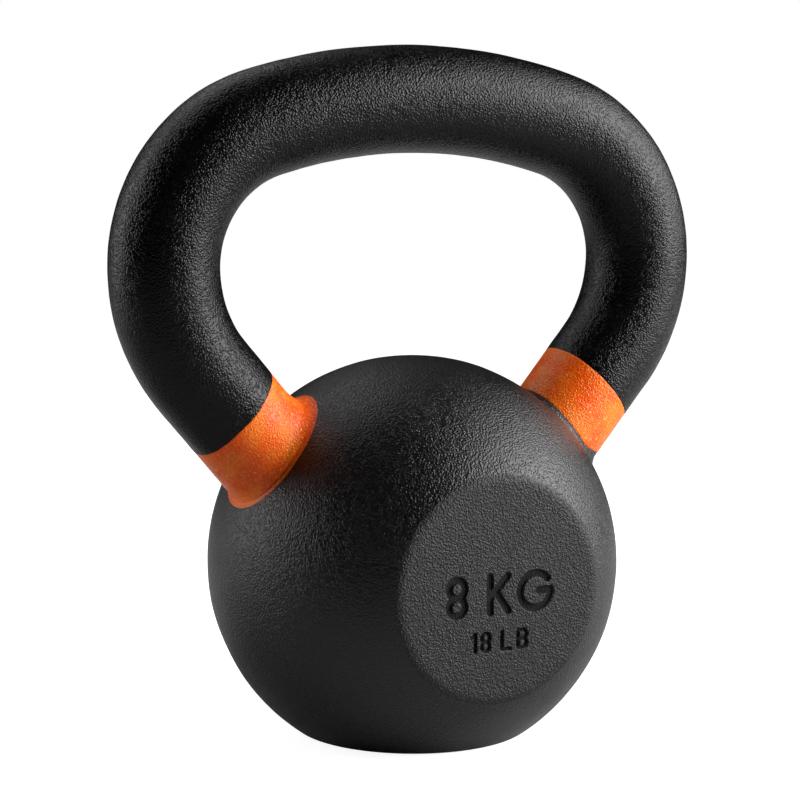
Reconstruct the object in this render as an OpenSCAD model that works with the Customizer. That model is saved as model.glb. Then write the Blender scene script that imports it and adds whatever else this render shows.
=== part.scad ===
// Kettlebell: an iron ball with a bent bar handle welded into two angled sockets.
// Millimetres, +Z up. The origin is the centre of the foot, on the floor.
// The handle lies in the XZ plane and the front face looks along -Y.

/* [Bell] */
// Diameter of the ball
ball_d = 121; // [100:1:150]
// Diameter of the flat foot
foot_d = 68; // [50:1:84]
// Diameter of the flat on the front and on the back
face_d = 62; // [48:1:76]

/* [Handle] */
// Overall width across the handle
handle_w = 186.6; // [155:0.2:226]
// Diameter of the handle bar
bar_d = 31; // [25:0.5:38]
// Bend radius of the bar's centreline along the top
top_r = 168; // [130:1:260]
// Bend radius of the bar's centreline at each shoulder
shoulder_r = 42; // [32:1:54]
// Bend radius of the bar's centreline down each side
side_r = 46.5; // [36:0.5:58]
// Lean of each horn away from the vertical, in degrees
horn_lean = 40.3; // [34:0.1:48]
// Distance by which a horn's axis misses the centre of the ball, on its outer side
horn_miss = 13.5; // [8:0.5:18]

/* [Sockets] */
// Width of the shoulder where each horn is turned down to enter its socket
spigot_step = 3.5; // [2:0.25:6]
// Length of the turned end inside the ball
spigot_len = 25; // [15:1:32]
// Gap all round a turned end in its socket
spigot_gap = 0.1; // [0.05:0.05:0.5]
// Gap below a turned end in its socket
socket_floor_gap = 0.5; // [0.2:0.1:2]

/* [Root welds] */
// Radius of the concave weld bead between a horn and the ball
weld_r = 3; // [1.5:0.5:5]

/* [Bands] */
// Height of the right band's upper edge above the ball, along the horn
right_band_top = 17.4; // [10:0.2:22]
// Height of the left band's upper edge above the ball, along the horn
left_band_top = 14.2; // [10:0.2:22]
// Thickness of the enamel
band_t = 0.4; // [0.2:0.1:1]
// Tilt of a band's upper edge towards the ball's own slope, in degrees
band_tilt = 7; // [0:1:12]

/* [Weight trim] */
// Diameter of the trimming bore
trim_d = 22; // [14:1:26]
// Depth of the trimming bore above the foot
trim_depth = 30; // [20:1:34]
// Width of the ledge that the plug seats on, round the bore
plug_ledge = 2; // [1:0.5:4]
// Thickness of the plug
plug_t = 5; // [3:0.5:8]
// Distance that the plug is set back from the foot
plug_setback = 0.6; // [0.4:0.1:2]
// Gap all round the plug and round the charge
trim_gap = 0.05; // [0.02:0.01:0.2]

/* [Mark] */
// Height of the large figures
mark_h = 12; // [8:0.5:14]
// Depth of the sunk mark
mark_depth = 0.7; // [0.4:0.1:1.2]
// Distance from the face's centre down to the middle of the large figures
mark_drop = 1; // [0:0.5:4]

/* [Hidden] */
$fn = 96;

// Ball
ball_r = ball_d / 2;
centre_z = sqrt(pow(ball_r, 2) - pow(foot_d / 2, 2));
face_y = sqrt(pow(ball_r, 2) - pow(face_d / 2, 2));
beyond = 2 * ball_d;

// Centreline of the bar, right half, as points [x, z] in the XZ plane
bar_r = bar_d / 2;
up_horn = [sin(horn_lean), cos(horn_lean)];
out_of_horn = [cos(horn_lean), -sin(horn_lean)];
ball_centre = [0, centre_z];
side_x = handle_w / 2 - bar_r;
side_centre_x = side_x - side_r;
side_centre_z = centre_z + (side_centre_x * out_of_horn.x + side_r - horn_miss) / sin(horn_lean);
side_centre = [side_centre_x, side_centre_z];
bend_end = side_centre + side_r * out_of_horn;
root = ball_centre + horn_miss * out_of_horn
    + sqrt(pow(ball_r, 2) - pow(horn_miss, 2)) * up_horn;
horn_len = (bend_end - root) * up_horn;
shoulder_centre = [side_x - shoulder_r, side_centre_z];
top_centre = [0, side_centre_z
    - sqrt(pow(top_r - shoulder_r, 2) - pow(shoulder_centre.x, 2))];
shoulder_end = atan2(shoulder_centre.y - top_centre.y, shoulder_centre.x);

// Turned ends and plug
spigot_r = bar_r - spigot_step;
plug_d = trim_d + 2 * plug_ledge;

// Neighbouring lengths of the bar overlap by a short lap, and the inner ones are a hair slimmer
lap = 0.5;
lap_step = 0.08;
horn_r = bar_r - lap_step;

// Weld bead: a ball of weld_r rolled round the root touches the bar and the ball
weld_turns = 64;
weld_arc_steps = 6;
weld_clear = 0.04;

// Mark: every figure is drawn 1 high, so strokes, widths and gaps are shares of its height
stroke_w = 0.17;
figure_w = 0.56;
letter_w = 0.66;
round_letter_w = 0.9;
letter_gap = 0.2;
word_gap = 0.5;
small_h = 0.5 * mark_h;
line_gap = 0.35 * mark_h;

// Places the children on a horn: +Z runs down the horn and z = 0 is at its root in the ball
module on_horn() {
    translate([root.x, 0, root.y]) rotate([0, 180 + horn_lean, 0]) children();
}

module ball(r = ball_r) {
    translate([0, 0, centre_z]) sphere(r = r, $fn = 180);
}

// A bend of the bar in the XZ plane, from one angle to another round a centre [x, z].
// lapped extends it at both ends, into its neighbours.
module bend(centre, bend_r, from, to, r, lapped = 0) {
    extra = lapped / bend_r * 180 / PI;
    translate([centre.x, 0, centre.y]) rotate([90, 0, 0]) rotate([0, 0, from - extra])
        rotate_extrude(angle = to - from + 2 * extra, $fn = 240)
            translate([bend_r, 0]) circle(r = r, $fn = 96);
}

// The right horn, down to a length inside the ball, with the bend above it
module horn(r, sunk) {
    bend(side_centre, side_r, -horn_lean, 0, r + lap_step);
    on_horn() translate([0, 0, -horn_len - lap]) cylinder(r = r, h = horn_len + lap + sunk);
}

module bent_bar() {
    bend(top_centre, top_r, shoulder_end, 180 - shoulder_end, bar_r);
    for (side = [0, 1]) mirror([side, 0, 0]) {
        bend(shoulder_centre, shoulder_r, 0, shoulder_end, bar_r - lap_step, lap);
        horn(horn_r, bar_r / 2);
    }
}

// One mark's strokes: each figure is a module drawn 1 high, standing on the X axis
module stroke(a, b) {
    span = b - a;
    translate(a) rotate(atan2(span.y, span.x)) translate([0, -stroke_w / 2])
        square([norm(span), stroke_w]);
    for (end = [a, b]) translate(end) circle(d = stroke_w, $fn = 24);
}

module loop(centre, r) {
    translate(centre) difference() {
        circle(r = r + stroke_w / 2, $fn = 48);
        circle(r = r - stroke_w / 2, $fn = 48);
    }
}

module half_loop(centre, r) {
    intersection() {
        loop(centre, r);
        translate([centre.x, centre.y - 1]) square([1, 2]);
    }
}

// A straight stroke between the lines at two heights, 0 at the bottom and 1 at the top
module upright(x) { stroke([x, stroke_w / 2], [x, 1 - stroke_w / 2]); }

module figure_8() {
    bowl = (1 - stroke_w) / 4;
    for (level = [1, 3]) loop([figure_w / 2, stroke_w / 2 + level * bowl], bowl);
}

module figure_1() {
    upright(0.3);
    stroke([0.1, 0.76], [0.3, 1 - stroke_w / 2]);
}

module letter_k() {
    upright(0.1);
    stroke([0.1, 0.42], [0.56, 1 - stroke_w / 2]);
    stroke([0.26, 0.55], [0.58, stroke_w / 2]);
}

module letter_g() {
    radius = (1 - stroke_w) / 2;
    mouth = radius * [cos(40), sin(40)];
    translate([round_letter_w / 2, 0.5]) {
        difference() {
            loop([0, 0], radius);
            polygon([[0, 0], 2 * mouth, [1, 0]]);
        }
        translate(mouth) circle(d = stroke_w, $fn = 24);
        stroke([0.1, 0], [radius, 0]);
    }
}

module letter_l() {
    upright(0.1);
    stroke([0.1, stroke_w / 2], [0.52, stroke_w / 2]);
}

module letter_b() {
    bowl = (1 - stroke_w) / 4;
    upright(0.1);
    for (level = [0, 2, 4]) {
        height = stroke_w / 2 + level * bowl;
        stroke([0.1, height], [0.34, height]);
    }
    for (level = [1, 3]) half_loop([0.34, stroke_w / 2 + level * bowl], bowl);
}

// The large line reads 8 KG and the small line below it reads 18 LB
module large_line() {
    letters_at = figure_w + word_gap;
    width = letters_at + letter_w + letter_gap + round_letter_w;
    translate([-width / 2, -0.5]) {
        figure_8();
        translate([letters_at, 0]) letter_k();
        translate([letters_at + letter_w + letter_gap, 0]) letter_g();
    }
}

module small_line() {
    letters_at = 2 * figure_w + word_gap;
    width = letters_at + 2 * letter_w + letter_gap;
    translate([-width / 2, -0.5]) {
        figure_1();
        translate([figure_w, 0]) figure_8();
        translate([letters_at, 0]) letter_l();
        translate([letters_at + letter_w + letter_gap, 0]) letter_b();
    }
}

module mark_outline() {
    translate([0, -mark_drop]) {
        scale(mark_h) large_line();
        translate([0, -(mark_h + small_h) / 2 - line_gap]) scale(small_h) small_line();
    }
}

module sunk_mark() {
    translate([0, -face_y, centre_z]) rotate([90, 0, 0])
        translate([0, 0, -mark_depth]) linear_extrude(2 * mark_depth) mark_outline();
}

module bell() color("#2b2b2b") {
    difference() {
        intersection() {
            ball();
            translate([-ball_d, -face_y, 0]) cube([2 * ball_d, 2 * face_y, beyond]);
        }
        for (side = [0, 1]) mirror([side, 0, 0]) on_horn() translate([0, 0, -ball_r])
            cylinder(r = spigot_r + spigot_gap, h = ball_r + spigot_len + socket_floor_gap);
        for (turn = [0, 180]) rotate(turn) sunk_mark();
        translate([0, 0, -1]) cylinder(d = trim_d, h = 1 + trim_depth);
        translate([0, 0, -1]) cylinder(d = plug_d, h = 1 + plug_setback + plug_t);
    }
}

module handle() color("#1c1c1c") {
    difference() {
        bent_bar();
        ball();
    }
    for (side = [0, 1]) mirror([side, 0, 0]) on_horn() translate([0, 0, -horn_len / 2])
        cylinder(r = spigot_r, h = horn_len / 2 + spigot_len);
}

// Height of a sphere of radius r about the ball's centre, along the horn's axis, at a place beside it.
// It is counted from the point of the axis nearest to the ball's centre.
function height_on(r, place) = sqrt(pow(r, 2) - pow(place.x + horn_miss, 2) - pow(place.y, 2));
function onto(r, place) = [place.x, place.y, height_on(r, place)];

// One section of the weld bead: on the ball beside the bar, up along the bead's arc, and back
function weld_section(turn) =
    let (
        out = [cos(turn), sin(turn)],
        skin_r = ball_r + weld_clear,
        middle = [-horn_miss, 0, 0],
        rolling = onto(ball_r + weld_r, (horn_r + weld_r) * out),
        to_bar = [-out.x, -out.y, 0],
        to_ball = (middle - rolling) / norm(middle - rolling),
        arc = [for (i = [0 : weld_arc_steps])
            let (blend = i / weld_arc_steps, way = (1 - blend) * to_bar + blend * to_ball)
            rolling + (weld_r - weld_clear) * way / norm(way)],
        foot = arc[weld_arc_steps],
        root_line = onto(skin_r, (horn_r + weld_clear) * out),
        halfway = onto(skin_r, ([root_line.x, root_line.y] + [foot.x, foot.y]) / 2)
    )
    concat([root_line], arc, [halfway]);

module root_weld() {
    ring = weld_arc_steps + 3;
    points = [for (i = [0 : weld_turns - 1]) each weld_section(i * 360 / weld_turns)];
    faces = [for (i = [0 : weld_turns - 1], j = [0 : ring - 1])
        let (next = (i + 1) % weld_turns, up = (j + 1) % ring)
        each [
            [i * ring + j, next * ring + j, i * ring + up],
            [i * ring + up, next * ring + j, next * ring + up],
        ]];
    nearest = ball_centre + horn_miss * out_of_horn;
    translate([nearest.x, 0, nearest.y]) rotate([0, horn_lean, 0])
        polyhedron(points, faces, convexity = 6);
}

module root_weld_right() color("#222222") root_weld();
module root_weld_left() color("#e2652a") mirror([1, 0, 0]) root_weld();

// An enamel ring on the right horn, from the weld up to the given height
module band(top) {
    difference() {
        intersection() {
            horn(horn_r + band_t, 0);
            on_horn() translate([0, 0, -top]) rotate([0, band_tilt, 0])
                translate([-bar_d, -bar_d, 0]) cube([2 * bar_d, 2 * bar_d, 4 * bar_d]);
        }
        horn(horn_r, 1);
        ball(ball_r + weld_r);
    }
}

module band_right() color("#e2652a") band(right_band_top);
module band_left() color("#e2652a") mirror([1, 0, 0]) band(left_band_top);

module trim_charge() color("#6e6e70") {
    translate([0, 0, plug_setback + plug_t])
        cylinder(d = trim_d - 2 * trim_gap, h = trim_depth - plug_setback - plug_t - trim_gap);
}

module base_plug() color("#3a3a3a") {
    translate([0, 0, plug_setback]) cylinder(d = plug_d - 2 * trim_gap, h = plug_t);
}

bell();
handle();
root_weld_left();
root_weld_right();
band_left();
band_right();
trim_charge();
base_plug();
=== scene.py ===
import math

import bmesh
import bpy
import numpy as np
from mathutils import Matrix, Vector, noise


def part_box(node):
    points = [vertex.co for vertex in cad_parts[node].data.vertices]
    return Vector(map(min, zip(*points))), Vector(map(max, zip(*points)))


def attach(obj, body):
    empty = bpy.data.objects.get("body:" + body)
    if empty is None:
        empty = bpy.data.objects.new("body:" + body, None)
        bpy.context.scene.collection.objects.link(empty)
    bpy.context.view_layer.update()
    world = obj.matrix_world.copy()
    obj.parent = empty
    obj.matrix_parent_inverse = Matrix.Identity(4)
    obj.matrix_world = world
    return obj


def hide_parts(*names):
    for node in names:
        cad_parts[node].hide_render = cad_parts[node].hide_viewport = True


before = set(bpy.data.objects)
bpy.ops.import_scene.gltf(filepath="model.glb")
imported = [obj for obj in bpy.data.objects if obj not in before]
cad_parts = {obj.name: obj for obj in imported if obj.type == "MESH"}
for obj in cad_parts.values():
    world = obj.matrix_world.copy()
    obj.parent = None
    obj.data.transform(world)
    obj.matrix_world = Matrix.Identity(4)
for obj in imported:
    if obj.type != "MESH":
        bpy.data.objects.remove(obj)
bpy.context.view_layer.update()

MM = 0.001
BODY = "root"

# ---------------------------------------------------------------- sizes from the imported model
BELL_LOW, BELL_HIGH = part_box("bell")
BAR_LOW, BAR_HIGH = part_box("handle")
PLUG_LOW, PLUG_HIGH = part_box("base_plug")
CHARGE_LOW, CHARGE_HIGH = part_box("trim_charge")

BALL_R = (BELL_HIGH.x - BELL_LOW.x) / 2
CENTRE_Z = BELL_HIGH.z - BALL_R
FACE_Y = BELL_HIGH.y
BAR_R = (BAR_HIGH.y - BAR_LOW.y) / 2
SIDE_X = BAR_HIGH.x - BAR_R
PLUG_R = (PLUG_HIGH.x - PLUG_LOW.x) / 2
BORE_R = (CHARGE_HIGH.x - CHARGE_LOW.x) / 2
FACE_R = math.sqrt(BALL_R**2 - FACE_Y**2)

# ---------------------------------------------------------------- bends and joints, as in the part
TOP_BEND = 168 * MM
SHOULDER_BEND = 42 * MM
SIDE_BEND = 46.5 * MM
HORN_LEAN = math.radians(40.3)
HORN_MISS = 13.5 * MM
SPIGOT_R = BAR_R - 3.5 * MM
SPIGOT_LEN = 25 * MM
SOCKET_GAP = 0.1 * MM
SOCKET_FLOOR_GAP = 0.5 * MM
BEAD_R = 3.0 * MM
BAND_TOP = {"right": 17.4 * MM, "left": 14.2 * MM}
BAND_LEAN = {"right": 1.7 * MM, "left": 2.05 * MM}
MARK_H = 12 * MM
MARK_DROP = 1 * MM
MARK_DEPTH = 0.7 * MM

# ---------------------------------------------------------------- surface detail
FACE_EDGE_BLEND = 0.8 * MM
FOOT_EDGE_BLEND = 1.0 * MM
# thickness of the bar's coat and of the enamel, and how deep their hidden edges are tucked in
COAT_T = 0.16 * MM
ENAMEL_T = 0.10 * MM
TUCK = 0.35 * MM


# ================================================================ bar geometry
UP_HORN = Vector((math.sin(HORN_LEAN), 0, math.cos(HORN_LEAN)))
OUT_OF_HORN = Vector((math.cos(HORN_LEAN), 0, -math.sin(HORN_LEAN)))
BALL_CENTRE = Vector((0, 0, CENTRE_Z))
SIDE_CENTRE_X = SIDE_X - SIDE_BEND
SIDE_CENTRE_Z = CENTRE_Z + (
    SIDE_CENTRE_X * math.cos(HORN_LEAN) + SIDE_BEND - HORN_MISS
) / math.sin(HORN_LEAN)
SHOULDER_CENTRE_X = SIDE_X - SHOULDER_BEND
TOP_CENTRE_Z = SIDE_CENTRE_Z - math.sqrt((TOP_BEND - SHOULDER_BEND) ** 2 - SHOULDER_CENTRE_X**2)
SHOULDER_END = math.atan2(SIDE_CENTRE_Z - TOP_CENTRE_Z, SHOULDER_CENTRE_X)
BEND_END = Vector((SIDE_CENTRE_X, 0, SIDE_CENTRE_Z)) + OUT_OF_HORN * SIDE_BEND
ROOT = BALL_CENTRE + OUT_OF_HORN * HORN_MISS + UP_HORN * math.sqrt(BALL_R**2 - HORN_MISS**2)
HORN_LEN = (BEND_END - ROOT).dot(UP_HORN)
SIDE_ARC = HORN_LEAN * SIDE_BEND
SHOULDER_ARC = SHOULDER_END * SHOULDER_BEND
TOP_ARC = (math.pi / 2 - SHOULDER_END) * TOP_BEND
HALF_BAR = HORN_LEN + SIDE_ARC + SHOULDER_ARC + TOP_ARC


def on_arc(centre_x, centre_z, radius, angle):
    """Point and direction of travel, anticlockwise, on an arc in the XZ plane."""
    out = Vector((math.cos(angle), 0, math.sin(angle)))
    return Vector((centre_x, 0, centre_z)) + out * radius, Vector((-out.z, 0, out.x))


def along_right(s):
    """Point and direction at a distance s up the right half of the bar's centreline from its root."""
    if s < HORN_LEN:
        return ROOT + UP_HORN * s, UP_HORN.copy()
    s -= HORN_LEN
    if s < SIDE_ARC:
        return on_arc(SIDE_CENTRE_X, SIDE_CENTRE_Z, SIDE_BEND, s / SIDE_BEND - HORN_LEAN)
    s -= SIDE_ARC
    if s < SHOULDER_ARC:
        return on_arc(SHOULDER_CENTRE_X, SIDE_CENTRE_Z, SHOULDER_BEND, s / SHOULDER_BEND)
    s -= SHOULDER_ARC
    return on_arc(0, TOP_CENTRE_Z, TOP_BEND, SHOULDER_END + s / TOP_BEND)


def along(side, s):
    """The same for either side. The direction always leads away from that side's root."""
    point, way = along_right(s)
    if side == "left":
        point.x, way.x = -point.x, -way.x
    return point, way


def round_bar(side, s, turn, radius):
    """Point beside the bar's centreline. Turn 0 is the outer, lower side and pi is the inner one."""
    point, way = along(side, s)
    outward = Vector((way.z, 0, -way.x))
    if side == "left":
        outward = -outward
    return point + (outward * math.cos(turn) + Vector((0, 1, 0)) * math.sin(turn)) * radius


def ball_height(turn, radius, sphere_r):
    """Distance up a horn from its root at which a sphere about the ball's centre is met."""
    across = radius * math.cos(turn) + HORN_MISS
    return math.sqrt(sphere_r**2 - across**2 - (radius * math.sin(turn)) ** 2) - math.sqrt(
        BALL_R**2 - HORN_MISS**2
    )


# ================================================================ cast unevenness
BROAD_LUMP = 15 * MM
FINE_LUMP = 4.2 * MM
# height of the broad lumps and of the fine ones, and a shift that gives each casting lumps of its own
BAR_LUMPS = (0.11 * MM, 0.045 * MM, 0.31)
BALL_LUMPS = (0.12 * MM, 0.03 * MM, 0.77)


def lumps(p, broad, fine, shift):
    """Height of the unevenness left by the mould and the coat at a point."""
    shifted = p + Vector((shift, shift * 1.7, -shift))
    return broad * noise.noise(shifted / BROAD_LUMP) + fine * noise.noise(shifted / FINE_LUMP)


def bar_lumps(p):
    return lumps(p, *BAR_LUMPS)


def ball_lumps(p):
    return lumps(p, *BALL_LUMPS)


def smooth(x, low, high):
    """0 up to low, 1 from high on, and a soft step between them."""
    t = min(max((x - low) / (high - low), 0.0), 1.0)
    return t * t * (3 - 2 * t)


# ================================================================ meshes
# edges that turn by more than this many degrees are drawn sharp
COATED_EDGE = 50
PLUG_EDGE = 25
BELL_EDGE = 48


def add_object(name, verts, faces, material, sharp_angle=COATED_EDGE):
    mesh = bpy.data.meshes.new(name)
    mesh.from_pydata([tuple(v) for v in verts], [], faces)
    mesh.validate()
    mesh.polygons.foreach_set("use_smooth", [True] * len(mesh.polygons))
    mesh.update()
    mesh.set_sharp_from_angle(angle=math.radians(sharp_angle))
    obj = bpy.data.objects.new(name, mesh)
    bpy.context.scene.collection.objects.link(obj)
    mesh.materials.append(material)
    return obj


def outward_normals(obj):
    work = bmesh.new()
    work.from_mesh(obj.data)
    bmesh.ops.recalc_face_normals(work, faces=work.faces)
    work.to_mesh(obj.data)
    work.free()
    return obj


def ring_solid(name, section, turns, material):
    """A closed ring: section(turn) gives the same number of points of a closed outline at each turn."""
    rings = [section(2 * math.pi * i / turns) for i in range(turns)]
    count = len(rings[0])
    verts = [p for ring in rings for p in ring]
    faces = []
    for i in range(turns):
        here, after = i * count, (i + 1) % turns * count
        for j in range(count):
            k = (j + 1) % count
            faces.append((here + j, after + j, after + k, here + k))
    return outward_normals(add_object(name, verts, faces, material))


def tube_solid(name, rings, material):
    """A closed tube through a list of rings of points, with a flat cap at each end."""
    count = len(rings[0])
    verts = [p for ring in rings for p in ring]
    faces = [tuple(range(count)), tuple(len(verts) - 1 - j for j in range(count))]
    for i in range(len(rings) - 1):
        here, after = i * count, (i + 1) * count
        for j in range(count):
            k = (j + 1) % count
            faces.append((here + j, after + j, after + k, here + k))
    return outward_normals(add_object(name, verts, faces, material))


# ---------------------------------------------------------------- the bar
BAR_TURNS = 156
ROW_GAP = 0.66 * MM
SPIGOT_SHORT = 1 * MM
SPIGOT_BEVEL = 1 * MM
SEAT_LIFT = 0.05 * MM
EDGE_WAVE = 0.28 * MM
EDGE_RIPPLE = 0.1 * MM
EDGE_WAVES = 1.6
EDGE_SEED = {"left": 3.1, "right": 7.4}
# rows bend fully with the band's edge within the first distance of it, and not at all past the second
EDGE_FOLLOW = (1 * MM, 9 * MM)
# rows at the band's edge, by height above it: on the bare bar, then with the share of coat missing
BARE_ROWS = (-0.5 * MM, -0.16 * MM)
COAT_STEP = ((-0.02 * MM, 0.9), (0.05 * MM, 0.45), (0.14 * MM, 0.12), (0.26 * MM, 0.0))


def round_noise(turn, waves, seed, finer=1):
    """Noise round a bar that meets itself after a full turn."""
    return noise.noise(Vector((math.cos(turn) * waves, math.sin(turn) * waves, seed)) * finer)


def band_edge(side, turn):
    """Height above the root of a band's upper edge, which leans and is a little uneven."""
    lean = -BAND_LEAN[side] * math.cos(turn)
    wave = EDGE_WAVE * round_noise(turn, EDGE_WAVES, EDGE_SEED[side])
    ripple = EDGE_RIPPLE * round_noise(turn, EDGE_WAVES, EDGE_SEED[side], finer=3)
    return BAND_TOP[side] + lean + wave + ripple


def near_edge(s, side):
    """How far a row at s bends to follow the band's edge: all the way at the edge itself."""
    return 1 - smooth(abs(s - BAND_TOP[side]), *EDGE_FOLLOW)


def bar_row(side, s, radius):
    """A ring of the bar with its own coat thickness, following the band's edge where it is near."""
    points = []
    follow = near_edge(s, side)
    for i in range(BAR_TURNS):
        turn = 2 * math.pi * i / BAR_TURNS
        here = s + follow * (band_edge(side, turn) - BAND_TOP[side])
        skin = round_bar(side, here, turn, BAR_R)
        points.append(round_bar(side, here, turn, radius + bar_lumps(skin)))
    return points


def horn_rows(side):
    """Rings of one half of the bar, from the end of its spigot up to the middle of the top."""
    turns = [2 * math.pi * i / BAR_TURNS for i in range(BAR_TURNS)]
    end = SPIGOT_SHORT - SPIGOT_LEN
    rows = [[round_bar(side, end, t, SPIGOT_R - SPIGOT_BEVEL) for t in turns]]
    rows.append([round_bar(side, end + SPIGOT_BEVEL, t, SPIGOT_R) for t in turns])
    bare = BAR_R - TUCK
    for radius in (SPIGOT_R, bare):
        seat = [ball_height(t, radius, BALL_R) + SEAT_LIFT for t in turns]
        rows.append([round_bar(side, s, t, radius) for s, t in zip(seat, turns)])
    edge = BAND_TOP[side]
    rows += [bar_row(side, edge + up, bare) for up in BARE_ROWS]
    rows += [bar_row(side, edge + up, BAR_R - missing * COAT_T) for up, missing in COAT_STEP]
    start = edge + COAT_STEP[-1][0]
    count = round((HALF_BAR - start) / ROW_GAP)
    rows += [bar_row(side, start + (HALF_BAR - start) * i / count, BAR_R) for i in range(1, count + 1)]
    return rows


def make_bar(material):
    right, left = horn_rows("right"), horn_rows("left")
    # the left half runs the other way round the bar, so its rings are read from the crest down
    return tube_solid("handle_bar", right + left[-2::-1], material)


# ---------------------------------------------------------------- enamel bands and weld beads
RING_TURNS = 200
BAND_ROWS = 30
BEAD_STEPS = 16
BEAD_WAVES = 1.4
BEAD_SEED = {"left": 11, "right": 17}
FOOT_WAVES = 2.2
FOOT_SEED = {"left": 5, "right": 9}
ROOT_WAY = {
    "right": (ROOT - BALL_CENTRE).normalized(),
    "left": (Vector((-ROOT.x, 0, ROOT.z)) - BALL_CENTRE).normalized(),
}

# places round the left root, each as the turn that it faces and how narrow it is
INNER = (math.pi, 1.5)
FRONT = (-0.6, 3)
BACK = (0.95, 1.6)
CREASE_SIDE = (-1.0, 2)

# the left bead is fuller at its inner side and in front, slim behind, and has a crease near its toe
LEFT_INNER = 1.9 * MM
LEFT_FRONT = 0.45 * MM
LEFT_BACK = 2.4 * MM
LEFT_RISE = 4.4 * MM
LEFT_LEAST_RISE = 0.3 * MM
LEFT_FOOT_GAP = 2.6 * MM
CREASE_DEPTH = 0.26 * MM
CREASE_AT = 0.72
CREASE_HALF_W = 0.07

# the right bead is full, and the band's foot stands high, on the root's outer side only
RIGHT_OUTER = 0.4
RIGHT_FADE = (-0.3, 0.75)
RIGHT_SLIMMER = 1.1 * MM
RIGHT_RISE = 3.7 * MM
RIGHT_FOOT_GAP = 1.6 * MM
RIGHT_FOOT_LIFT = 4.7 * MM
RIGHT_CROWN = 0.3

BEAD_WANDER = 0.2 * MM
FOOT_WANDER = 0.15 * MM
BEAD_BITE = 0.06 * MM
ROOT_SINK = 0.12 * MM
EDGE_ROUND = 0.12 * MM
FOOT_ROUND = 0.18 * MM
# ends of the outlines: how far up from the edge, and how deep below the bar's skin
BAND_LIP = ((0.35 * MM, TUCK * 0.8), (0.02 * MM, COAT_T * 0.8))
BAND_TOE = ((0.06 * MM, COAT_T - ENAMEL_T + 0.03 * MM), (0.0, COAT_T), (0.0, TUCK * 0.9))
BEAD_LIP = ((0.3 * MM, TUCK * 0.9), (0.1 * MM, COAT_T * 0.9))
# the bead's toe on the ball: how far out along the ball, and how high above its skin
BEAD_TOE = ((0.35 * MM, 0.07 * MM), (0.6 * MM, 0.02 * MM), (0.7 * MM, -0.12 * MM))


def facing(turn, middle, narrowness):
    """1 at one turn of a root, falling to 0 a quarter turn away from it."""
    return max(0.0, math.cos(turn - middle)) ** narrowness


def inner_side(turn):
    return facing(turn, *INNER)


def outer_side(turn):
    """1 where the right root's bead is full, on its outer side, and 0 where it is slim."""
    return smooth(math.cos(turn - RIGHT_OUTER), *RIGHT_FADE)


def bead_radius(side, turn):
    """Radius of a concave bead, which isn't the same all round its root."""
    wander = BEAD_WANDER * round_noise(turn, BEAD_WAVES, BEAD_SEED[side])
    if side == "right":
        return BEAD_R - RIGHT_SLIMMER * (1 - outer_side(turn)) + wander / 2
    fuller = LEFT_INNER * inner_side(turn) + LEFT_FRONT * facing(turn, *FRONT)
    return BEAD_R + fuller - LEFT_BACK * facing(turn, *BACK) + wander


def bead_rise(side, turn):
    """How far a bead feathers on up the bar beyond the rolled ball's touch."""
    if side == "right":
        return RIGHT_RISE * outer_side(turn)
    return LEFT_RISE * inner_side(turn) + LEFT_LEAST_RISE


def rolled(side, turn):
    """Height, reach and radius of a ball rolled along the root: it touches the bar and the ball."""
    r = bead_radius(side, turn)
    reach = BAR_R - BEAD_BITE + r
    return ball_height(turn, reach, BALL_R + r), reach, r


def bead_top(side, turn):
    return rolled(side, turn)[0] + bead_rise(side, turn)


def band_foot(side, turn):
    """Height of a band's lower edge: on the bead's upper edge, and no nearer the ball than its gap."""
    gap = LEFT_FOOT_GAP if side == "left" else RIGHT_FOOT_GAP + RIGHT_FOOT_LIFT * outer_side(turn)
    wander = FOOT_WANDER * round_noise(turn, FOOT_WAVES, FOOT_SEED[side])
    return max(bead_top(side, turn), ball_height(turn, BAR_R, BALL_R + gap)) + wander


def enamel_point(side, s, turn, sunk):
    """Point of the bar's uneven skin, sunk by so much."""
    skin = round_bar(side, s, turn, BAR_R)
    return round_bar(side, s, turn, BAR_R - sunk + bar_lumps(skin))


def band_section(side):
    """Outlines of a band: its upper edge, its face, its foot, and back below the bar's coat."""

    def section(turn):
        top, foot = band_edge(side, turn), band_foot(side, turn)
        upper, lower = top - EDGE_ROUND, foot + FOOT_ROUND
        points = [enamel_point(side, top + up, turn, sunk) for up, sunk in BAND_LIP]
        for i in range(BAND_ROWS + 1):
            s = upper + (lower - upper) * i / BAND_ROWS
            points.append(enamel_point(side, s, turn, COAT_T - ENAMEL_T))
        points += [enamel_point(side, foot + up, turn, sunk) for up, sunk in BAND_TOE]
        return points

    return section


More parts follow.
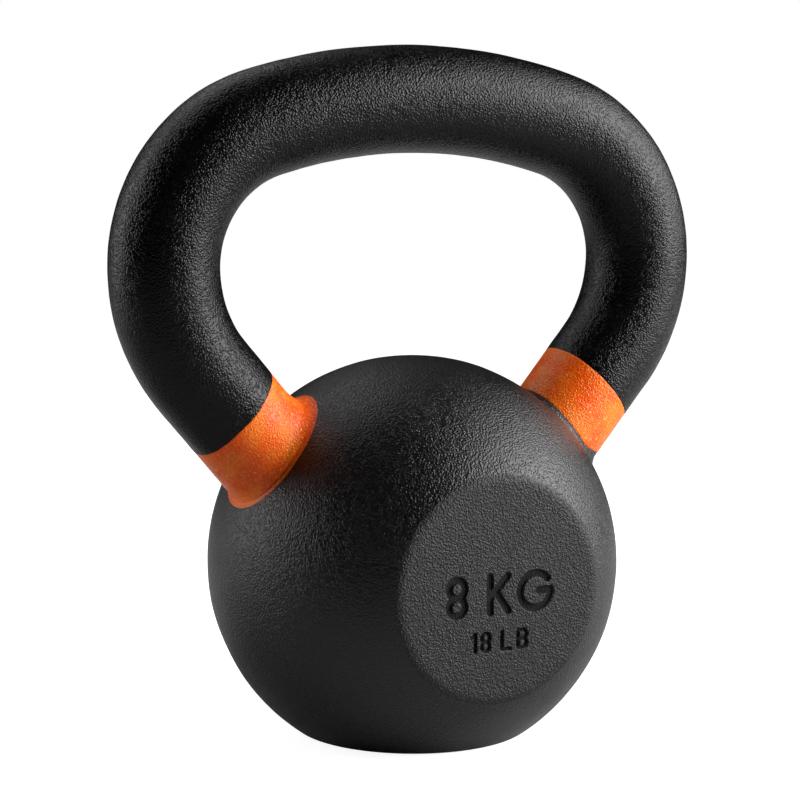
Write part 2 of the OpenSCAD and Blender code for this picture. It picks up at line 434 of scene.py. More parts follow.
def bead_section(side):
    """Outlines of a bead: from the bar's coat down its hollow face to its toe on the ball."""
    horn_way = along(side, 0)[1]

    def section(turn):
        height, reach, r = rolled(side, turn)
        middle = round_bar(side, height, turn, reach)
        bar_axis = round_bar(side, ball_height(turn, BAR_R + r, BALL_R + r), turn, 0)
        to_bar = (bar_axis - middle).normalized()
        to_ball = (BALL_CENTRE - middle).normalized()
        top = max(bead_top(side, turn), band_foot(side, turn))
        crease_depth = CREASE_DEPTH * facing(turn, *CREASE_SIDE) if side == "left" else 0.0
        crown_height = RIGHT_CROWN * r if side == "right" else 0.0
        points = [enamel_point(side, top + up, turn, sunk) for up, sunk in BEAD_LIP]
        for i in range(BEAD_STEPS + 1):
            blend = i / BEAD_STEPS
            way = (to_bar * (1 - blend) + to_ball * blend).normalized()
            p = middle + way * r + horn_way * bead_rise(side, turn) * (1 - blend) ** 2
            swell = (1 - blend) * bar_lumps(p) + blend * ball_lumps(p)
            crease = crease_depth * math.exp(-(((blend - CREASE_AT) / CREASE_HALF_W) ** 2))
            crown = crown_height * math.sin(math.pi * blend)
            points.append(p - way * (swell + crown - crease))
        toe = (points[-1] - BALL_CENTRE).normalized()
        spread = (toe - ROOT_WAY[side] * toe.dot(ROOT_WAY[side])).normalized()
        for out, lift in BEAD_TOE:
            way = (toe * BALL_R + spread * out).normalized()
            skin = BALL_R + ball_lumps(BALL_CENTRE + way * BALL_R)
            points.append(BALL_CENTRE + way * (skin + lift))
        seat = ball_height(turn, BAR_R - TUCK, BALL_R) - ROOT_SINK
        points.append(round_bar(side, seat, turn, BAR_R - TUCK * 0.9))
        return points

    return section


# ---------------------------------------------------------------- sunk mark
# figures and letters are drawn 1 high, from the lower left corner of each
STROKE = 0.17
FIGURE_W = 0.56
LETTER_W = 0.66
ROUND_LETTER_W = 0.9
LETTER_GAP = 0.2
WORD_GAP = 0.5
STEM = 0.1
LOW = STROKE / 2
HIGH = 1 - STROKE / 2
BOWL = (1 - STROKE) / 4
SMALL_H = 0.5 * MARK_H
LINE_GAP = 0.35 * MARK_H
# the mark's wall starts this far outside a stroke's edge, and is this wide
WALL_OUT = 0.16 * MM
WALL_W = 0.38 * MM


def line(ax, ay, bx, by):
    return ("line", ax, ay, bx, by)


def arc(cx, cy, r, start=0.0, end=360.0):
    return ("arc", cx, cy, r, math.radians(start), math.radians(end))


EIGHT = [arc(FIGURE_W / 2, LOW + k * BOWL, BOWL) for k in (1, 3)]
ONE_STEM = 0.3
ONE = [line(ONE_STEM, LOW, ONE_STEM, HIGH), line(STEM, 0.76, ONE_STEM, HIGH)]
K = [line(STEM, LOW, STEM, HIGH), line(STEM, 0.42, 0.56, HIGH), line(0.26, 0.55, 0.58, LOW)]
G_R = (1 - STROKE) / 2
G = [
    arc(ROUND_LETTER_W / 2, 0.5, G_R, 40, 360),
    line(ROUND_LETTER_W / 2 + 0.1, 0.5, ROUND_LETTER_W / 2 + G_R, 0.5),
]
L = [line(STEM, LOW, STEM, HIGH), line(STEM, LOW, 0.52, LOW)]
B_BAR = 0.34
B = [line(STEM, LOW, STEM, HIGH)]
B += [line(STEM, LOW + k * BOWL, B_BAR, LOW + k * BOWL) for k in (0, 2, 4)]
B += [arc(B_BAR, LOW + k * BOWL, BOWL, -90, 90) for k in (1, 3)]


def placed(strokes, x, y, size):
    """Strokes drawn 1 high, scaled and moved to their place on a face."""
    out = []
    for kind, a, b, c, d, *rest in strokes:
        if kind == "line":
            out.append((kind, x + a * size, y + b * size, x + c * size, y + d * size))
        else:
            out.append((kind, x + a * size, y + b * size, c * size, d, rest[0]))
    return out


def row(figures, width, low, size):
    """A row of figures and letters across the middle of a face, each stroke with its size."""
    strokes = []
    for figure, at in figures:
        strokes += [(s, size) for s in placed(figure, (at - width / 2) * size, low, size)]
    return strokes


def mark_strokes():
    """The mark's strokes on a face: 8 KG, and 18 LB half as high below it."""
    letters = FIGURE_W + WORD_GAP
    large = [(EIGHT, 0), (K, letters), (G, letters + LETTER_W + LETTER_GAP)]
    large_w = letters + LETTER_W + LETTER_GAP + ROUND_LETTER_W
    letters = 2 * FIGURE_W + WORD_GAP
    small = [(ONE, 0), (EIGHT, FIGURE_W), (L, letters), (B, letters + LETTER_W + LETTER_GAP)]
    small_w = letters + 2 * LETTER_W + LETTER_GAP
    low = -MARK_DROP - MARK_H / 2
    return row(large, large_w, low, MARK_H) + row(small, small_w, low - LINE_GAP - SMALL_H, SMALL_H)


MARK = mark_strokes()


def stroke_gap(u, v):
    """Distance of each point (u, v) of a face from the nearest stroke's edge, less than 0 inside one."""
    gap = np.full(u.shape, 1.0)
    for (kind, a, b, c, d, *rest), size in MARK:
        if kind == "line":
            length = math.hypot(c - a, d - b)
            t = np.clip(((u - a) * (c - a) + (v - b) * (d - b)) / length**2, 0, 1)
            distance = np.hypot(u - a - t * (c - a), v - b - t * (d - b))
        else:
            angle = np.arctan2(v - b, u - a)
            middle = (d + rest[0]) / 2
            off = np.abs((angle - middle + math.pi) % (2 * math.pi) - math.pi)
            past = off > (rest[0] - d) / 2
            ends = [np.hypot(u - a - c * math.cos(e), v - b - c * math.sin(e)) for e in (d, rest[0])]
            distance = np.where(past, np.minimum(*ends), np.abs(np.hypot(u - a, v - b) - c))
        gap = np.minimum(gap, distance - STROKE * size / 2)
    return gap


# ---------------------------------------------------------------- the ball
CELLS = 92
# how near a rim, as a cosine from the ball's centre, and how near a stroke the skin is divided finely
FACE_RIM = 0.011
FOOT_RIM = 0.012
MARK_RIM = 0.8 * MM
# the unevenness dies away over this height above the ground foot
GROUND_FADE = 1.5 * MM
NEAR_ZERO = 1e-6
# room round the plug and the charge, and how far outside the ball each drill starts
FIT_GAP = 0.05 * MM
DRILL_OVER = 1 * MM
SOCKET_OVER = 5 * MM


def ball_grid():
    """Directions and four-cornered faces of a ball divided like a cube, one side facing each axis."""
    steps = np.tan(np.linspace(-1, 1, CELLS + 1) * math.pi / 4)
    a, b = np.meshgrid(steps, steps, indexing="ij")
    one = np.ones_like(a)
    sides = [(one, a, b), (-one, b, a), (b, one, a), (a, -one, b), (a, b, one), (b, a, -one)]
    points = np.concatenate([np.stack(s, -1).reshape(-1, 3) for s in sides])
    points /= np.linalg.norm(points, axis=1)[:, None]
    index = np.arange((CELLS + 1) ** 2).reshape(CELLS + 1, CELLS + 1)
    quads = np.stack([index[:-1, :-1], index[1:, :-1], index[1:, 1:], index[:-1, 1:]], -1).reshape(-1, 4)
    quads = np.concatenate([quads + k * (CELLS + 1) ** 2 for k in range(6)])
    _, first, same = np.unique(np.round(points, 6), axis=0, return_index=True, return_inverse=True)
    return points[first], same.reshape(-1)[quads]


def soft_min(a, b, blend):
    h = np.clip(blend - np.abs(a - b), 0, None) / blend
    return np.minimum(a, b) - h * h * blend / 4


def bell_shape(way):
    """Distance from the ball's centre to its skin in each direction, flats and mark included."""
    x, y, z = way[:, 0], way[:, 1], way[:, 2]
    flat = FACE_Y / np.maximum(np.abs(y), NEAR_ZERO)
    foot = CENTRE_Z / np.maximum(-z, NEAR_ZERO)
    skin = soft_min(np.full(len(way), BALL_R), flat, FACE_EDGE_BLEND)
    skin = soft_min(skin, foot, FOOT_EDGE_BLEND)
    on_face = flat < BALL_R
    to_right = np.where(y < 0, 1.0, -1.0)
    gap = stroke_gap(x * flat * to_right, z * flat)
    wall = np.clip((WALL_OUT - gap) / WALL_W, 0, 1)
    sunk = MARK_DEPTH * wall * wall * (3 - 2 * wall)
    return skin - np.where(on_face, sunk / np.maximum(np.abs(y), 0.5), 0)


def refine(work, pick, cuts):
    """Divides the picked faces' edges, so that a narrow feature there has faces of its own."""
    edges = list({e for f in work.faces if pick(f) for e in f.edges})
    bmesh.ops.subdivide_edges(work, edges=edges, cuts=cuts, use_grid_fill=True)
    for v in work.verts:
        v.co.normalize()


def make_bell(material):
    way, quads = ball_grid()
    mesh = bpy.data.meshes.new("bell_casting")
    mesh.from_pydata(way.tolist(), [], quads.tolist())
    work = bmesh.new()
    work.from_mesh(mesh)
    face_cos = FACE_Y / BALL_R
    foot_cos = CENTRE_Z / BALL_R

    def near_rim(face):
        n = face.calc_center_median().normalized()
        return abs(abs(n.y) - face_cos) < FACE_RIM or abs(-n.z - foot_cos) < FOOT_RIM

    def near_mark(face):
        n = face.calc_center_median().normalized()
        if abs(n.y) < face_cos:
            return False
        u = n.x / abs(n.y) * FACE_Y * (1 if n.y < 0 else -1)
        gap = stroke_gap(np.array([u]), np.array([n.z / abs(n.y) * FACE_Y]))[0]
        return gap < MARK_RIM

    refine(work, near_rim, 1)
    refine(work, near_mark, 3)
    bmesh.ops.recalc_face_normals(work, faces=work.faces)
    work.to_mesh(mesh)
    work.free()
    count = len(mesh.vertices)
    co = np.empty(count * 3)
    mesh.vertices.foreach_get("co", co)
    way = co.reshape(-1, 3)
    way /= np.linalg.norm(way, axis=1)[:, None]
    reach = bell_shape(way)
    lift = np.array([ball_lumps(Vector(p)) for p in (way * BALL_R + np.array(BALL_CENTRE)).tolist()])
    # the foot is ground flat, so it has no unevenness of its own
    grounded = np.clip((-way[:, 2] * reach - CENTRE_Z + GROUND_FADE) / GROUND_FADE, 0, 1)
    reach = reach + lift * (1 - grounded)
    skin = way * reach[:, None] + np.array(BALL_CENTRE)
    skin[:, 2] = np.maximum(skin[:, 2], 0.0)
    mesh.vertices.foreach_set("co", skin.reshape(-1))
    mesh.polygons.foreach_set("use_smooth", [True] * len(mesh.polygons))
    mesh.update()
    mesh.materials.append(material)
    obj = bpy.data.objects.new("bell_casting", mesh)
    bpy.context.scene.collection.objects.link(obj)
    cut_bores(obj)
    obj.data.set_sharp_from_angle(angle=math.radians(BELL_EDGE))
    return obj


def drill(name, radius, start, way, length):
    """A cylinder for cutting a bore, from a point along a direction."""
    work = bmesh.new()
    turn = way.to_track_quat("Z", "Y").to_matrix().to_4x4()
    place = Matrix.Translation(start + way * length / 2) @ turn
    bmesh.ops.create_cone(
        work, cap_ends=True, segments=96, radius1=radius, radius2=radius, depth=length, matrix=place
    )
    mesh = bpy.data.meshes.new(name)
    work.to_mesh(mesh)
    work.free()
    obj = bpy.data.objects.new(name, mesh)
    bpy.context.scene.collection.objects.link(obj)
    return obj


def cut_bores(bell):
    """Cuts the two sockets, the trimming bore and the plug's seat, and applies each cut."""
    up = Vector((0, 0, 1))
    below = -up * DRILL_OVER
    drills = [drill("cut_seat", PLUG_R + FIT_GAP, below, up, DRILL_OVER + PLUG_HIGH.z)]
    drills.append(drill("cut_trim", BORE_R + FIT_GAP, below, up, DRILL_OVER + CHARGE_HIGH.z + FIT_GAP))
    for sign in (1, -1):
        root = Vector((sign * ROOT.x, 0, ROOT.z))
        down = Vector((-sign * UP_HORN.x, 0, -UP_HORN.z))
        length = SOCKET_OVER + SPIGOT_LEN + SOCKET_FLOOR_GAP
        drills.append(drill("cut_socket", SPIGOT_R + SOCKET_GAP, root - down * SOCKET_OVER, down, length))
    for tool in drills:
        cut = bell.modifiers.new("cut", "BOOLEAN")
        cut.operation = "DIFFERENCE"
        cut.solver = "EXACT"
        cut.object = tool
    graph = bpy.context.evaluated_depsgraph_get()
    done = bpy.data.meshes.new_from_object(bell.evaluated_get(graph))
    bell.modifiers.clear()
    old = bell.data
    bell.data = done
    done.name = "bell_casting"
    bpy.data.meshes.remove(old)
    for tool in drills:
        bpy.data.objects.remove(tool)


# ---------------------------------------------------------------- the plug
PLUG_TURNS = 96
# the lower face from the middle out, as (radius, height above the face)
PLUG_DIMPLE = ((0.0, 1.1 * MM), (0.5 * MM, 1.0 * MM), (1.6 * MM, 0.0))
TOOL_START = 2.4 * MM
TOOL_PITCH = 0.55 * MM
TOOL_DEPTH = 0.05 * MM
TOOL_MARGIN = 1.2 * MM
# the lower rim's bevel, as (distance in from the rim, height above the face)
PLUG_BEVEL = ((0.7 * MM, 0.0), (0.15 * MM, 0.35 * MM), (0.0, 0.8 * MM))
PLUG_CHAMFER = 0.3 * MM


def make_plug(material):
    """A turned plug: bevelled rim, faint tool rings and a centre dimple on its lower face."""
    low, high = PLUG_LOW.z, PLUG_HIGH.z
    profile = [(radius, low + up) for radius, up in PLUG_DIMPLE]
    radius = TOOL_START
    while radius < PLUG_R - TOOL_MARGIN:
        profile.append((radius, low + TOOL_DEPTH * (len(profile) % 2)))
        radius += TOOL_PITCH
    profile += [(PLUG_R - back, low + up) for back, up in PLUG_BEVEL]
    profile += [(PLUG_R, high - PLUG_CHAMFER), (PLUG_R - PLUG_CHAMFER, high), (0.0, high)]
    turns = [2 * math.pi * i / PLUG_TURNS for i in range(PLUG_TURNS)]
    verts, rows = [], []
    for r, z in profile:
        if r == 0.0:
            rows.append([len(verts)] * PLUG_TURNS)
            verts.append((0, 0, z))
            continue
        rows.append(list(range(len(verts), len(verts) + PLUG_TURNS)))
        verts += [(r * math.cos(turn), r * math.sin(turn), z) for turn in turns]
    faces = []
    for here, after in zip(rows, rows[1:]):
        for i in range(PLUG_TURNS):
            k = (i + 1) % PLUG_TURNS
            corners = [here[i], here[k], after[k], after[i]]
            faces.append(tuple(dict.fromkeys(corners)))
    return outward_normals(add_object("plug_turned", verts, faces, material, PLUG_EDGE))


# ================================================================ shader node groups
class Nodes:
    """Adds nodes to a tree, with links given as values."""

    def __init__(self, tree):
        self.tree = tree

    def give(self, socket, value):
        """Links an output to a socket, or sets a plain value on it."""
        if isinstance(value, bpy.types.NodeSocket):
            self.tree.links.new(value, socket)
        else:
            socket.default_value = value

    def add(self, kind, inputs=None, **settings):
        node = self.tree.nodes.new(kind)
        for key, value in settings.items():
            setattr(node, key, value)
        for key, value in (inputs or {}).items():
            self.give(node.inputs[key], value)
        return node

    def math(self, operation, a, b=0.0, c=0.0):
        return self.add("ShaderNodeMath", {0: a, 1: b, 2: c}, operation=operation).outputs[0]

    def ramp(self, value, low, high, to_low=0.0, to_high=1.0):
        return self.add(
            "ShaderNodeMapRange",
            {"Value": value, "From Min": low, "From Max": high, "To Min": to_low, "To Max": to_high},
            interpolation_type="SMOOTHSTEP",
        ).outputs[0]

    def between(self, mask, low, high):
        """A value that runs from low to high as a mask runs from 0 to 1."""
        return self.ramp(mask, 0.0, 1.0, low, high)

    def blend(self, factor, a, b):
        return self.add("ShaderNodeMix", {0: factor, 2: a, 3: b}).outputs[0]

    def mix(self, factor, a, b):
        """The same for two colours."""
        return self.add("ShaderNodeMix", {0: factor, 6: a, 7: b}, data_type="RGBA").outputs[2]


def new_group(name, inputs, outputs):
    group = bpy.data.node_groups.new(name, "ShaderNodeTree")
    for label, kind, default in inputs:
        socket = group.interface.new_socket(label, in_out="INPUT", socket_type=kind)
        socket.default_value = default
    for label in outputs:
        group.interface.new_socket(label, in_out="OUTPUT", socket_type="NodeSocketFloat")
    n = Nodes(group)
    return group, n, n.add("NodeGroupInput").outputs, n.add("NodeGroupOutput").inputs


def grain_group():
    """Powder-coat grain: rounded blobs with valleys between them, over a finer sand."""
    group, n, given, result = new_group(
        "powder_grain",
        [
            ("Position", "NodeSocketVector", (0, 0, 0)),
            ("Blobs per metre", "NodeSocketFloat", 1200.0),
            ("Sand per metre", "NodeSocketFloat", 3500.0),
            ("Sand share", "NodeSocketFloat", 0.35),
        ],
        ["Height", "Valleys"],
    )
    wander_per_metre, wander_reach = 420.0, 1.2 * MM
    mound_edge, swell_share = 0.75, 0.5
    deepest, shallowest = 0.4, 0.95
    at, blobs_per_metre = given["Position"], given["Blobs per metre"]
    wander = n.add("ShaderNodeTexNoise", {"Vector": at, "Scale": wander_per_metre, "Detail": 1.0})
    offset = n.add(
        "ShaderNodeVectorMath", {0: wander.outputs["Color"], 1: (0.5, 0.5, 0.5)}, operation="SUBTRACT"
    )
    shift = n.add("ShaderNodeVectorMath", {0: offset.outputs[0], "Scale": wander_reach}, operation="SCALE")
    moved = n.add("ShaderNodeVectorMath", {0: at, 1: shift.outputs[0]}, operation="ADD").outputs[0]
    blobs = n.add(
        "ShaderNodeTexVoronoi",
        {"Vector": moved, "Scale": blobs_per_metre, "Smoothness": 0.4, "Randomness": 1.0},
        feature="SMOOTH_F1",
    )
    mound = n.ramp(blobs.outputs["Distance"], 0.0, mound_edge, 1.0, 0.0)
    fineness = {"Detail": 2.0, "Roughness": 0.6}
    swell = n.add("ShaderNodeTexNoise", {"Vector": at, "Scale": blobs_per_metre, **fineness})
    sand = n.add("ShaderNodeTexNoise", {"Vector": at, "Scale": given["Sand per metre"], **fineness})
    body = n.math("MULTIPLY_ADD", swell.outputs["Fac"], swell_share, mound)
    height = n.math("MULTIPLY_ADD", sand.outputs["Fac"], given["Sand share"], body)
    n.give(result["Height"], height)
    n.give(result["Valleys"], n.ramp(body, deepest, shallowest, 1.0, 0.0))
    return group


def mottle_group():
    """Slow changes of tone over the surface, and small specks: uneven coat and handling dust; the enamel
    uses the specks for painted glints.
    """
    group, n, given, result = new_group(
        "coat_mottle",
        [
            ("Position", "NodeSocketVector", (0, 0, 0)),
            ("Patches per metre", "NodeSocketFloat", 60.0),
            ("Specks per metre", "NodeSocketFloat", 900.0),
        ],
        ["Patches", "Specks"],
    )
    for label, detail, low, high in (("Patches", 4.0, 0.35, 0.68), ("Specks", 1.0, 0.6, 0.76)):
        size = {"Scale": given[label + " per metre"], "Detail": detail}
        cloud = n.add("ShaderNodeTexNoise", {"Vector": given["Position"], **size})
        n.give(result[label], n.ramp(cloud.outputs["Fac"], low, high))
    return group


GRAIN = grain_group()
MOTTLE = mottle_group()


# ================================================================ coats
def new_material(name):
    material = bpy.data.materials.new(name)
    material.use_nodes = True
    material.node_tree.nodes.clear()
    n = Nodes(material.node_tree)
    shader = n.add("ShaderNodeBsdfPrincipled")
    out = n.add("ShaderNodeOutputMaterial", {"Surface": shader.outputs[0]})
    at = n.add("ShaderNodeTexCoord").outputs["Object"]
    out.location, shader.location = (600, 0), (300, 0)
    return material, n, shader, at


def use_group(n, group, at, **values):
    """Places a group. A socket's name is written with low lines in place of its spaces."""
    node = n.add("ShaderNodeGroup", {"Position": at}, node_tree=group)
    for key, value in values.items():
        n.give(node.inputs[key.replace("_", " ")], value)
    return node.outputs


def grey(tone, red=0.0, green=0.0, blue=0.0):
    """A grey of one tone, with a little more of a colour."""
    return (tone + red, tone + green, tone + blue, 1)


def finish(n, shader, colour, rough, height, depth, **plain):
    """Gives a coat its colour, roughness and grain, and sets its plain values on the shader itself."""
    n.give(shader.inputs["Base Color"], colour)
    n.give(shader.inputs["Roughness"], rough)
    for key, value in plain.items():
        shader.inputs[key.replace("_", " ")].default_value = value
    bump = n.add("ShaderNodeBump", {"Height": height, "Distance": depth, "Strength": 1.0})
    n.give(shader.inputs["Normal"], bump.outputs["Normal"])


def handle_coat():
    """Near-black semi-gloss powder coat with a coarse leathery grain."""
    material, n, shader, at = new_material("handle_powder_coat")
    grain = use_group(n, GRAIN, at, Blobs_per_metre=1650.0, Sand_per_metre=4200.0, Sand_share=0.35)
    patches = use_group(n, MOTTLE, at)["Patches"]
    colour = n.mix(patches, grey(0.0008, blue=0.0001), grey(0.0014, blue=0.0001))
    rough = n.between(patches, 0.23, 0.29)
    finish(n, shader, colour, rough, grain["Height"], 0.13 * MM, Specular_IOR_Level=0.19)
    return material


# depths below the flat's level, and distances in from its rim, over which a look comes in
FLAT_FADE = (1.1 * MM, 0.5 * MM)
SUNK_FADE = (0.38 * MM, 0.16 * MM)
MARK_MARGIN = (3.5 * MM, 2.5 * MM)


def sunk_mask(n, parts, depth):
    """1 on the sunk mark's floor and 0 elsewhere, also where the ball falls away past a flat's rim."""
    up = n.math("SUBTRACT", parts["Z"], CENTRE_Z)
    beside = n.add("ShaderNodeCombineXYZ", {0: parts["X"], 2: up}).outputs[0]
    reach = n.add("ShaderNodeVectorMath", {0: beside}, operation="LENGTH").outputs["Value"]
    within = n.ramp(reach, FACE_R - MARK_MARGIN[0], FACE_R - MARK_MARGIN[1], 1.0, 0.0)
    below = n.ramp(depth, FACE_Y - SUNK_FADE[0], FACE_Y - SUNK_FADE[1], 1.0, 0.0)
    return n.math("MULTIPLY", below, within)


def ball_coat():
    """Matte black coat with a sandy grain, duller on the two flats and dullest in the sunk mark, with
    painted shade in the grain's valleys and on the sunk mark's floor.
    """
    material, n, shader, at = new_material("ball_powder_coat")
    fine_share, valley_share = 0.78, 0.85
    flat_duller, sunk_duller = 0.19, 0.45
    parts = n.add("ShaderNodeSeparateXYZ", {0: at}).outputs
    depth = n.math("ABSOLUTE", parts["Y"])
    flat = n.ramp(depth, FACE_Y - FLAT_FADE[0], FACE_Y - FLAT_FADE[1])
    sunk = sunk_mask(n, parts, depth)
    fine = use_group(n, GRAIN, at, Blobs_per_metre=1600.0, Sand_per_metre=2900.0, Sand_share=0.8)
    sandy = use_group(n, GRAIN, at, Blobs_per_metre=1600.0, Sand_per_metre=2900.0, Sand_share=0.9)
    height = n.blend(flat, n.math("MULTIPLY", fine["Height"], fine_share), sandy["Height"])
    valleys = n.blend(flat, fine["Valleys"], sandy["Valleys"])
    patches = use_group(n, MOTTLE, at, Patches_per_metre=45.0)["Patches"]
    round_black = n.mix(patches, grey(0.004, blue=0.0001), grey(0.0065, blue=0.0001))
    even = n.mix(flat, round_black, grey(0.003, blue=0.0001))
    # painted shade: the grain's valleys are darkened towards black
    worn_and_valley_shade = n.mix(n.math("MULTIPLY", valleys, valley_share), even, grey(0.0008))
    # painted shade: the sunk mark's floor is darkened to near black
    colour = n.mix(sunk, worn_and_valley_shade, grey(0.001))
    round_rough = n.between(patches, 0.33, 0.38)
    flat_rough = n.math("MULTIPLY_ADD", flat, flat_duller, round_rough)
    rough = n.math("MULTIPLY_ADD", sunk, sunk_duller, flat_rough)
    finish(n, shader, colour, rough, height, 0.18 * MM, Specular_IOR_Level=0.4)
    return material


def enamel_coat():
    """Orange enamel brushed over the grain, with painted shade darkening its valleys and painted glints as
    pale specks.
    """
    material, n, shader, at = new_material("orange_enamel")
    deep_orange, orange = (0.96, 0.11, 0.004, 1), (1.0, 0.21, 0.012, 1)
    valley_shade_brown, painted_glint_speck = (0.45, 0.045, 0.004, 1), (1.0, 0.5, 0.16, 1)
    valley_share, speck_share = 0.25, 0.4
    grain = use_group(n, GRAIN, at, Blobs_per_metre=1700.0, Sand_per_metre=3800.0, Sand_share=0.4)
    mottle = use_group(n, MOTTLE, at, Patches_per_metre=120.0)
    base = n.mix(mottle["Patches"], deep_orange, orange)
    # painted shade: the grain's valleys are darkened towards brown
    worn_and_valley_shade = n.mix(n.math("MULTIPLY", grain["Valleys"], valley_share), base, valley_shade_brown)
    # painted glints: pale yellow specks stand in for small highlights on the grain
    colour = n.mix(n.math("MULTIPLY", mottle["Specks"], speck_share), worn_and_valley_shade, painted_glint_speck)
    rough = n.between(mottle["Patches"], 0.25, 0.38)
    finish(n, shader, colour, rough, grain["Height"], 0.13 * MM, Specular_IOR_Level=0.22)
    return material


def plug_coat():
    """Dark coated steel of the plug, duller in small specks."""
    material, n, shader, at = new_material("plug_coat")
    grain = use_group(n, GRAIN, at, Blobs_per_metre=2200.0)
    mottle = use_group(n, MOTTLE, at, Patches_per_metre=150.0)
    dark, worn_and_valley_shade = grey(0.02, blue=0.001), grey(0.043, red=0.002, green=0.001)
    colour = n.mix(mottle["Patches"], dark, worn_and_valley_shade)
    rough = n.between(mottle["Specks"], 0.38, 0.6)
    finish(n, shader, colour, rough, grain["Height"], 0.03 * MM, Metallic=0.6)
    return material


def charge_finish():
    """Iron shot set in resin."""
    material, n, shader, at = new_material("charge_shot")
    grain = use_group(n, GRAIN, at, Blobs_per_metre=600.0)
    shot, resin = grey(0.16, blue=0.005), grey(0.025, red=0.005, green=0.003)
    colour = n.mix(grain["Valleys"], shot, resin)
    finish(n, shader, colour, 0.5, grain["Height"], 0.3 * MM, Metallic=0.7)
    return material


# ================================================================ room, lights and camera
FLOOR_R = 30.0
FLOOR_DROP = 0.05 * MM
PAPER_TONE = 0.5
# the paper's glow as the camera sees it: its strength near the bell and further off
GLOW_NEAR, GLOW_FAR = (0.1, 0.9), (0.4, 1.0)
DIM_SKY = 0.02


def camera_only(n):
    return n.add("ShaderNodeLightPath").outputs["Is Camera Ray"]


def make_floor():
    """A plain pale floor, lit evenly as a paper sweep is, with a faint shadow under the bell."""
    bpy.ops.mesh.primitive_circle_add(
        vertices=96, radius=FLOOR_R, fill_type="NGON", location=(0, 0, -FLOOR_DROP)
    )
    floor = bpy.context.object
    floor.name = "studio_floor"
    material = bpy.data.materials.new("pale_paper")
    material.use_nodes = True
    material.node_tree.nodes.clear()
    n = Nodes(material.node_tree)
    at = n.add("ShaderNodeTexCoord").outputs["Object"]
    reach = n.add("ShaderNodeVectorMath", {0: at}, operation="LENGTH").outputs["Value"]
    strength = n.ramp(reach, GLOW_NEAR[0], GLOW_FAR[0], GLOW_NEAR[1], GLOW_FAR[1])
    paper = n.add("ShaderNodeBsdfDiffuse", {"Color": grey(PAPER_TONE)}).outputs[0]
    glow = n.add("ShaderNodeEmission", {"Color": grey(1.0), "Strength": strength}).outputs[0]
    lit = n.add("ShaderNodeAddShader", {0: paper, 1: glow}).outputs[0]
    both = n.add("ShaderNodeMixShader", {0: camera_only(n), 1: paper, 2: lit}).outputs[0]
    n.add("ShaderNodeOutputMaterial", {"Surface": both})
    floor.data.materials.append(material)


def make_world():
    """A white backdrop for the camera, and a dim one for the surfaces."""
    world = bpy.data.worlds.new("studio")
    bpy.context.scene.world = world
    world.use_nodes = True
    world.node_tree.nodes.clear()
    n = Nodes(world.node_tree)
    dim = n.add("ShaderNodeBackground", {"Color": grey(1.0), "Strength": DIM_SKY}).outputs[0]
    white = n.add("ShaderNodeBackground", {"Color": grey(1.0), "Strength": 1.0}).outputs[0]
    mixed = n.add("ShaderNodeMixShader", {0: camera_only(n), 1: dim, 2: white}).outputs[0]
    n.add("ShaderNodeOutputWorld", {"Surface": mixed})


VIEW_AZIMUTH = math.radians(-27.62)
VIEW_ELEVATION = math.radians(6.88)
VIEW_ROLL = math.radians(0.22)
VIEW_DISTANCE = 649.2 * MM
VIEW_SHIFT = -3.67 * MM
VIEW_HEIGHT = 97.44 * MM
LENS = 99.3
SENSOR_W = 36

LIGHT_DISTANCE = 0.9
LIGHT_AIM = Vector((0, 0, 0.1))
# name, azimuth from the camera's to the right, elevation, width, height and power
LIGHTS = (
    ("soft_key", 80, 20, 0.42, 0.75, 16.0),
    ("soft_rim", 112, 28, 0.45, 0.8, 6.0),
    ("soft_left", -101, 12, 0.45, 1.0, 5.3),
    ("soft_back", -140, 50, 0.7, 0.5, 1.6),
)


def direction(azimuth, elevation):
    """Direction from the object to a camera or light: azimuth 0 is in front, and it grows to the right."""
    flat = math.cos(elevation)
    return Vector((math.sin(azimuth) * flat, -math.cos(azimuth) * flat, math.sin(elevation)))


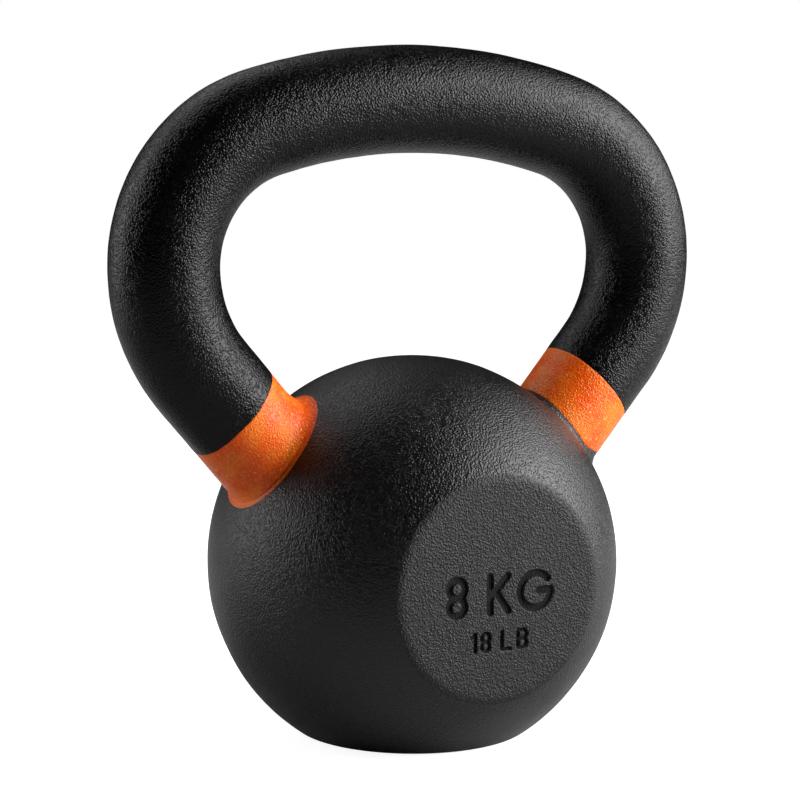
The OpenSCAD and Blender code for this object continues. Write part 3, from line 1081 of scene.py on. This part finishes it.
def make_camera():
    back = direction(VIEW_AZIMUTH, VIEW_ELEVATION)
    right = Vector((math.cos(VIEW_AZIMUTH), math.sin(VIEW_AZIMUTH), 0))
    target = right * VIEW_SHIFT + Vector((0, 0, VIEW_HEIGHT))
    data = bpy.data.cameras.new("camera")
    data.lens = LENS
    data.sensor_width = SENSOR_W
    data.clip_start, data.clip_end = 0.05, 50
    camera = bpy.data.objects.new("camera", data)
    bpy.context.scene.collection.objects.link(camera)
    camera.rotation_mode = "QUATERNION"
    turn = (-back).to_track_quat("-Z", "Y")
    camera.rotation_quaternion = turn @ Matrix.Rotation(VIEW_ROLL, 4, "Z").to_quaternion()
    camera.location = target + back * VIEW_DISTANCE
    bpy.context.scene.camera = camera


def softbox(name, azimuth, elevation, width, height, power):
    """A rectangular soft light, aimed at the middle. Its azimuth is counted from the camera's."""
    way = direction(VIEW_AZIMUTH + math.radians(azimuth), math.radians(elevation))
    data = bpy.data.lights.new(name, "AREA")
    data.shape = "RECTANGLE"
    data.size, data.size_y = width, height
    data.energy = power
    light = bpy.data.objects.new(name, data)
    bpy.context.scene.collection.objects.link(light)
    light.location = LIGHT_AIM + way * LIGHT_DISTANCE
    light.rotation_mode = "QUATERNION"
    light.rotation_quaternion = (-way).to_track_quat("-Z", "Y")


# ================================================================ assembly
make_camera()
make_world()
make_floor()
for light in LIGHTS:
    softbox(*light)
bpy.context.scene.view_settings.view_transform = "Standard"

COATS = {"ball": ball_coat(), "handle": handle_coat(), "enamel": enamel_coat()}

bell = make_bell(COATS["ball"])
bar = make_bar(COATS["handle"])
plug = make_plug(plug_coat())
for side in ("left", "right"):
    band = ring_solid("enamel_band_" + side, band_section(side), RING_TURNS, COATS["enamel"])
    bead_coat = COATS["enamel"] if side == "left" else COATS["ball"]
    bead = ring_solid("bead_" + side, bead_section(side), RING_TURNS, bead_coat)
    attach(band, BODY)
    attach(bead, BODY)
    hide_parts("band_" + side)
    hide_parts("root_weld_" + side)

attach(bell, BODY)
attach(bar, BODY)
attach(plug, BODY)
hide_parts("bell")
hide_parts("handle")
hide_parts("base_plug")

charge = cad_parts["trim_charge"]
charge.data.materials.clear()
charge.data.materials.append(charge_finish())
